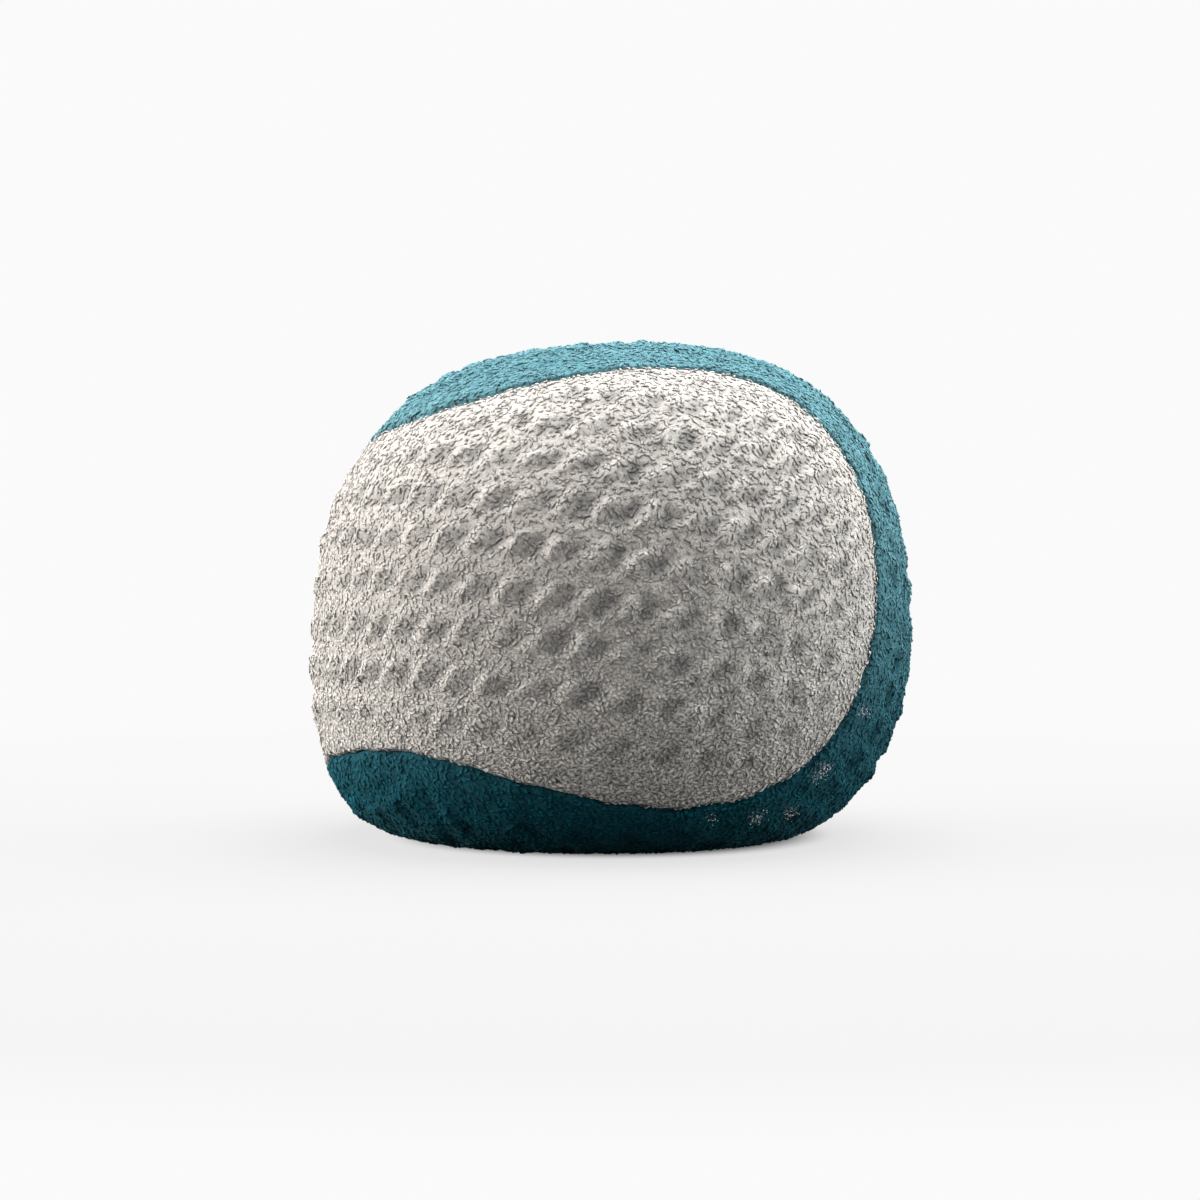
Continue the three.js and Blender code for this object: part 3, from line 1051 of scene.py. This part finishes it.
weave_pitch = 0.45
weave_relief = 0.06
thread_round = (0.1, 0.7)
cotton_shaded_between = (0.6, 0.585, 0.55, 1)
cotton_raised = (0.86, 0.845, 0.81, 1)
cotton_dusted = (0.93, 0.92, 0.9, 1)
cotton_dust = 0.6
cotton_dust_per_mm = 0.6
cotton_dust_edge = (0.45, 0.7)


def woven_cotton():
    """Plain weave, dusted by the powder behind it. The threads are paler where they are raised and darker
    between them, as painted shade.
    """
    finish = Finish("pouch_cotton", {"Roughness": 0.9, "Specular IOR Level": 0.2, "Sheen Weight": 0.15})
    cloth = finish.attribute("cloth", "Vector")
    waves = [finish.math("SINE", finish.axis(cloth, name) * (math.pi / weave_pitch)) for name in "XY"]
    across, along = (finish.math("ABSOLUTE", wave) for wave in waves)
    weave = 0.5 * across + 0.5 * along
    # Darker between the threads: painted shade in the weave.
    thread = finish.blend(finish.between(weave, *thread_round), cotton_shaded_between, cotton_raised)
    patches = finish.noise(cloth, cotton_dust_per_mm, detail=3.0)
    dust = cotton_dust * finish.between(patches, *cotton_dust_edge)
    colour = finish.blend(dust, thread, cotton_dusted)
    return finish.surface({"Base Color": colour, "Normal": finish.bump(weave, weave_relief)})


pouch_cotton = woven_cotton()
for name, side in (("pouch_panel_grey_side", grey_side), ("pouch_panel_teal_side", teal_side)):
    cotton = swept_cloth(name + "_cloth", pouch_columns, pouch_rows(side), pouch_relief)
    dress(cotton, pouch_cotton, "pouch_cloth", name, fill=0.8)

# Pouch thread
# White two-ply cotton thread: one row of long machine stitches that closes the pouch round its whole seam.
# It lies along the turned-in allowance of the grey side's panel.

pouch_thread = 0.35
pouch_pitch = 8.0
pouch_stitch_drop = 1.2
pouch_stretch = Stretch(closing_middle + tail, closing_middle - tail + 2 * math.pi)
pouch_drop = groove_depth + pouch_fold + pouch_stitch_drop
pouch_inner = seam_edge + pouch_cloth
pouch_path = stitched_path(
    grey_side, pouch_stretch, pouch_thread, pouch_pitch, pouch_inner, pouch_drop
)
pouch_plies = twisted_thread("pouch_thread_plies", pouch_path, pouch_thread)
white_thread = spun_thread("white_thread", light=(0.86, 0.85, 0.82, 1), dark=(0.6, 0.59, 0.56, 1))
dress(pouch_plies, white_thread, "white_thread", "pouch_thread")

# Drying powder
# Loose magnesium carbonate, packed by handling into one soft mass that fills the pouch. A slot along the
# seam makes room for the pouch's allowances and thread.

powder_top = pouch_face + pouch_cloth + clearance
powder_groove = groove_depth + pouch_cloth + clearance
powder_slot = pouch_inner + pouch_thread + stitch_slack + 2 * clearance
powder_floor = pouch_end + clearance
powder_lumps = ((0.12, 2.4), (0.06, 0.9))


def powder_half(side):
    mouth = groove_mouth + pouch_cloth / 2
    foot = groove_foot + pouch_cloth / 2
    slope = groove_rows(mouth, foot, powder_top, powder_groove)
    slot = [(powder_slot, 0, powder_groove), (powder_slot, 0, powder_floor)]
    return [(side, *row) for row in field_rows(mouth, powder_top) + slope + slot]


def powder_relief(points, places, ways):
    return sum(rise * lumps(points, size) for rise, size in powder_lumps), np.zeros(len(points))


powder_shaded = (0.78, 0.77, 0.75, 1)
powder_lit = (0.93, 0.925, 0.91, 1)
powder_pale = (0.3, 0.7)
grains_per_mm = 3.5
clumps_per_mm = 0.5
grain_share = 0.6
grain_relief = 0.12


def chalky_powder():
    """Matte white grains of many sizes."""
    finish = Finish("chalky_powder", {"Roughness": 1.0, "Specular IOR Level": 0.1})
    cloth = finish.attribute("cloth", "Vector")
    grains = finish.noise(cloth, grains_per_mm, detail=6.0)
    clumps = finish.noise(cloth, clumps_per_mm, detail=3.0)
    pale = finish.between(grain_share * grains + (1 - grain_share) * clumps, *powder_pale)
    colour = finish.blend(pale, powder_shaded, powder_lit)
    return finish.surface({"Base Color": colour, "Normal": finish.bump(grains, grain_relief)})


powder_bottom = [(grey_side, 0, 0, powder_floor)]
powder_rows = powder_half(grey_side) + powder_bottom + powder_half(teal_side)[::-1]
powder_mass = swept_cloth("drying_powder_mass", pouch_columns, powder_rows, powder_relief)
powder_finish = chalky_powder()
dress(powder_mass, powder_finish, "powder", "drying_powder")

# Powder dust
# Grains of the same powder that squeezing has driven out through the seam. They cling to the tips of the
# teal pile at the front right.

dust_size = (0.04, 0.1)
dust_grains = 140
dust_lift = 0.3
dust_scatter = 0.15
dust_corners = ((1, 0, 0), (0, 1, 0), (-1, 0, 0), (0, -1, 0), (0, 0, 1), (0, 0, -1))


def dust_on(name, panel, seed):
    """Tiny closed grains that lie on the pile where it is dusted."""
    random = np.random.default_rng(seed)
    points = vectors(panel.data.vertices, "co") / mm
    normals = vectors(panel.data.vertex_normals, "vector")
    outer = vectors(panel.data.attributes["cloth"].data, "vector")[:, 2] == 0
    weight = dust_at(points) * outer
    chosen = random.choice(len(points), dust_grains, p=weight / weight.sum())
    scatter = random.normal(0, dust_scatter, (dust_grains, 3))
    middle = points[chosen] + normals[chosen] * dust_lift + scatter
    sizes = random.uniform(*dust_size, (dust_grains, len(dust_corners), 1))
    grains = middle[:, None] + np.array(dust_corners) * sizes
    sides = [(i, (i + 1) % 4, 4) for i in range(4)] + [((i + 1) % 4, i, 5) for i in range(4)]
    faces = (np.arange(dust_grains) * len(dust_corners))[:, None, None] + np.array(sides)
    mesh = bpy.data.meshes.new(name)
    mesh.from_pydata((grains.reshape(-1, 3) * mm).tolist(), [], faces.reshape(-1, 3).tolist())
    store(mesh, "cloth", grains.reshape(-1, 3))
    return stand(name, mesh)


dress(dust_on("powder_dust", teal_panel, seed=3), powder_finish, "powder")

# Floor and backdrop
# A pale floor under a white surround, as in a light tent. The camera sees both at one even white, and the
# floor keeps the ball's shadow.

floor_reach = 1.5
floor_blend = (0.08, 0.2)
shadow_edge = (0.02, 0.029)
shadow_veil = 0.76
studio_white = (0.955, 0.955, 0.955, 1)
paper = (0.31, 0.31, 0.31, 1)
dim_paper = (0.12, 0.12, 0.12, 1)


def paper_finish():
    finish = Finish("studio_paper", {"Base Color": paper, "Roughness": 1.0, "Specular IOR Level": 0.0})
    place = finish.node("ShaderNodeNewGeometry", output="Position")
    away = finish.node("ShaderNodeVectorMath", {"operation": "LENGTH"}, {0: place}, "Value")
    far = finish.between(away, *floor_blend)
    veil = shadow_veil * finish.between(away, *shadow_edge)
    paleness = finish.math("MAXIMUM", far, veil)
    plain = finish.node("ShaderNodeEmission", None, {"Color": studio_white})
    dim = finish.node("ShaderNodeBsdfDiffuse", None, {"Color": dim_paper})
    seen = finish.node("ShaderNodeLightPath", output="Is Camera Ray")
    lit = Value(finish, finish.shader.outputs[0])
    near_or_far = finish.node("ShaderNodeMixShader", None, {0: paleness, 1: lit, 2: plain})
    shown = finish.node("ShaderNodeMixShader", None, {0: seen, 1: dim, 2: near_or_far})
    finish.feed(finish.tree.nodes["Material Output"].inputs["Surface"], shown)
    return finish.material


floor_mesh = bpy.data.meshes.new("studio_floor")
floor_corners = [(x * floor_reach, y * floor_reach, 0) for x, y in ((-1, -1), (1, -1), (1, 1), (-1, 1))]
floor_mesh.from_pydata(floor_corners, [], [(0, 1, 2, 3)])
floor_mesh.materials.append(paper_finish())
stand("studio_floor", floor_mesh)

# Light
# One large soft panel above and a little behind the ball, and a lit wall at each side: warm at the left,
# and cooler and weaker at the right. The surround lights the front dimly.

ball_middle = (0, 0, 0.03)
panel_size = 0.7
neutral = (1, 1, 1)
warm = (1, 0.965, 0.93)
cool = (0.975, 1, 1)
dim_surround = (0.39, 0.39, 0.39, 1)


def soft_panel(name, place, brightness, colour):
    lamp = bpy.data.lights.new(name, "AREA")
    lamp.shape = "SQUARE"
    lamp.size = panel_size
    lamp.color = colour
    lamp.energy = brightness * math.pi * panel_size ** 2
    holder = bpy.data.objects.new(name, lamp)
    holder.location = place
    aim = Vector(ball_middle) - Vector(place)
    holder.rotation_euler = aim.to_track_quat("-Z", "Y").to_euler()
    bpy.context.scene.collection.objects.link(holder)


soft_panel("top_panel", place=(0.08, 0.13, 0.65), brightness=6.9, colour=neutral)
soft_panel("left_wall", place=(-0.6, 0.02, 0.09), brightness=7.0, colour=warm)
soft_panel("right_wall", place=(0.6, 0.06, 0.2), brightness=3.8, colour=cool)

world = bpy.data.worlds.new("surround")
world.use_nodes = True
surround = Nodes(world.node_tree)
seen_by_camera = surround.node("ShaderNodeLightPath", output="Is Camera Ray")
surround_colour = surround.blend(seen_by_camera, dim_surround, studio_white)
surround.feed(world.node_tree.nodes["Background"].inputs["Color"], surround_colour)
bpy.context.scene.world = world

# Camera
# A long lens in front of the ball, less than half a metre away. It stands a little above the ball's belly
# and looks down very slightly.

camera_distance = 0.4
camera_rise = math.radians(1.74)
aim_height = 0.032
sensor_width = 36.0
lens_length = 94.2
frame_shift = (-0.0082, -0.0143)

camera_data = bpy.data.cameras.new("camera")
camera_data.sensor_width = sensor_width
camera_data.lens = lens_length
camera_data.shift_x, camera_data.shift_y = frame_shift
camera = bpy.data.objects.new("camera", camera_data)
camera.location = (
    to_frame[0] * mm,
    to_frame[1] * mm - camera_distance * math.cos(camera_rise),
    aim_height + camera_distance * math.sin(camera_rise),
)
camera.rotation_euler = (math.pi / 2 - camera_rise, 0, 0)
bpy.context.scene.collection.objects.link(camera)
bpy.context.scene.camera = camera
bpy.context.scene.view_settings.view_transform = "Standard"
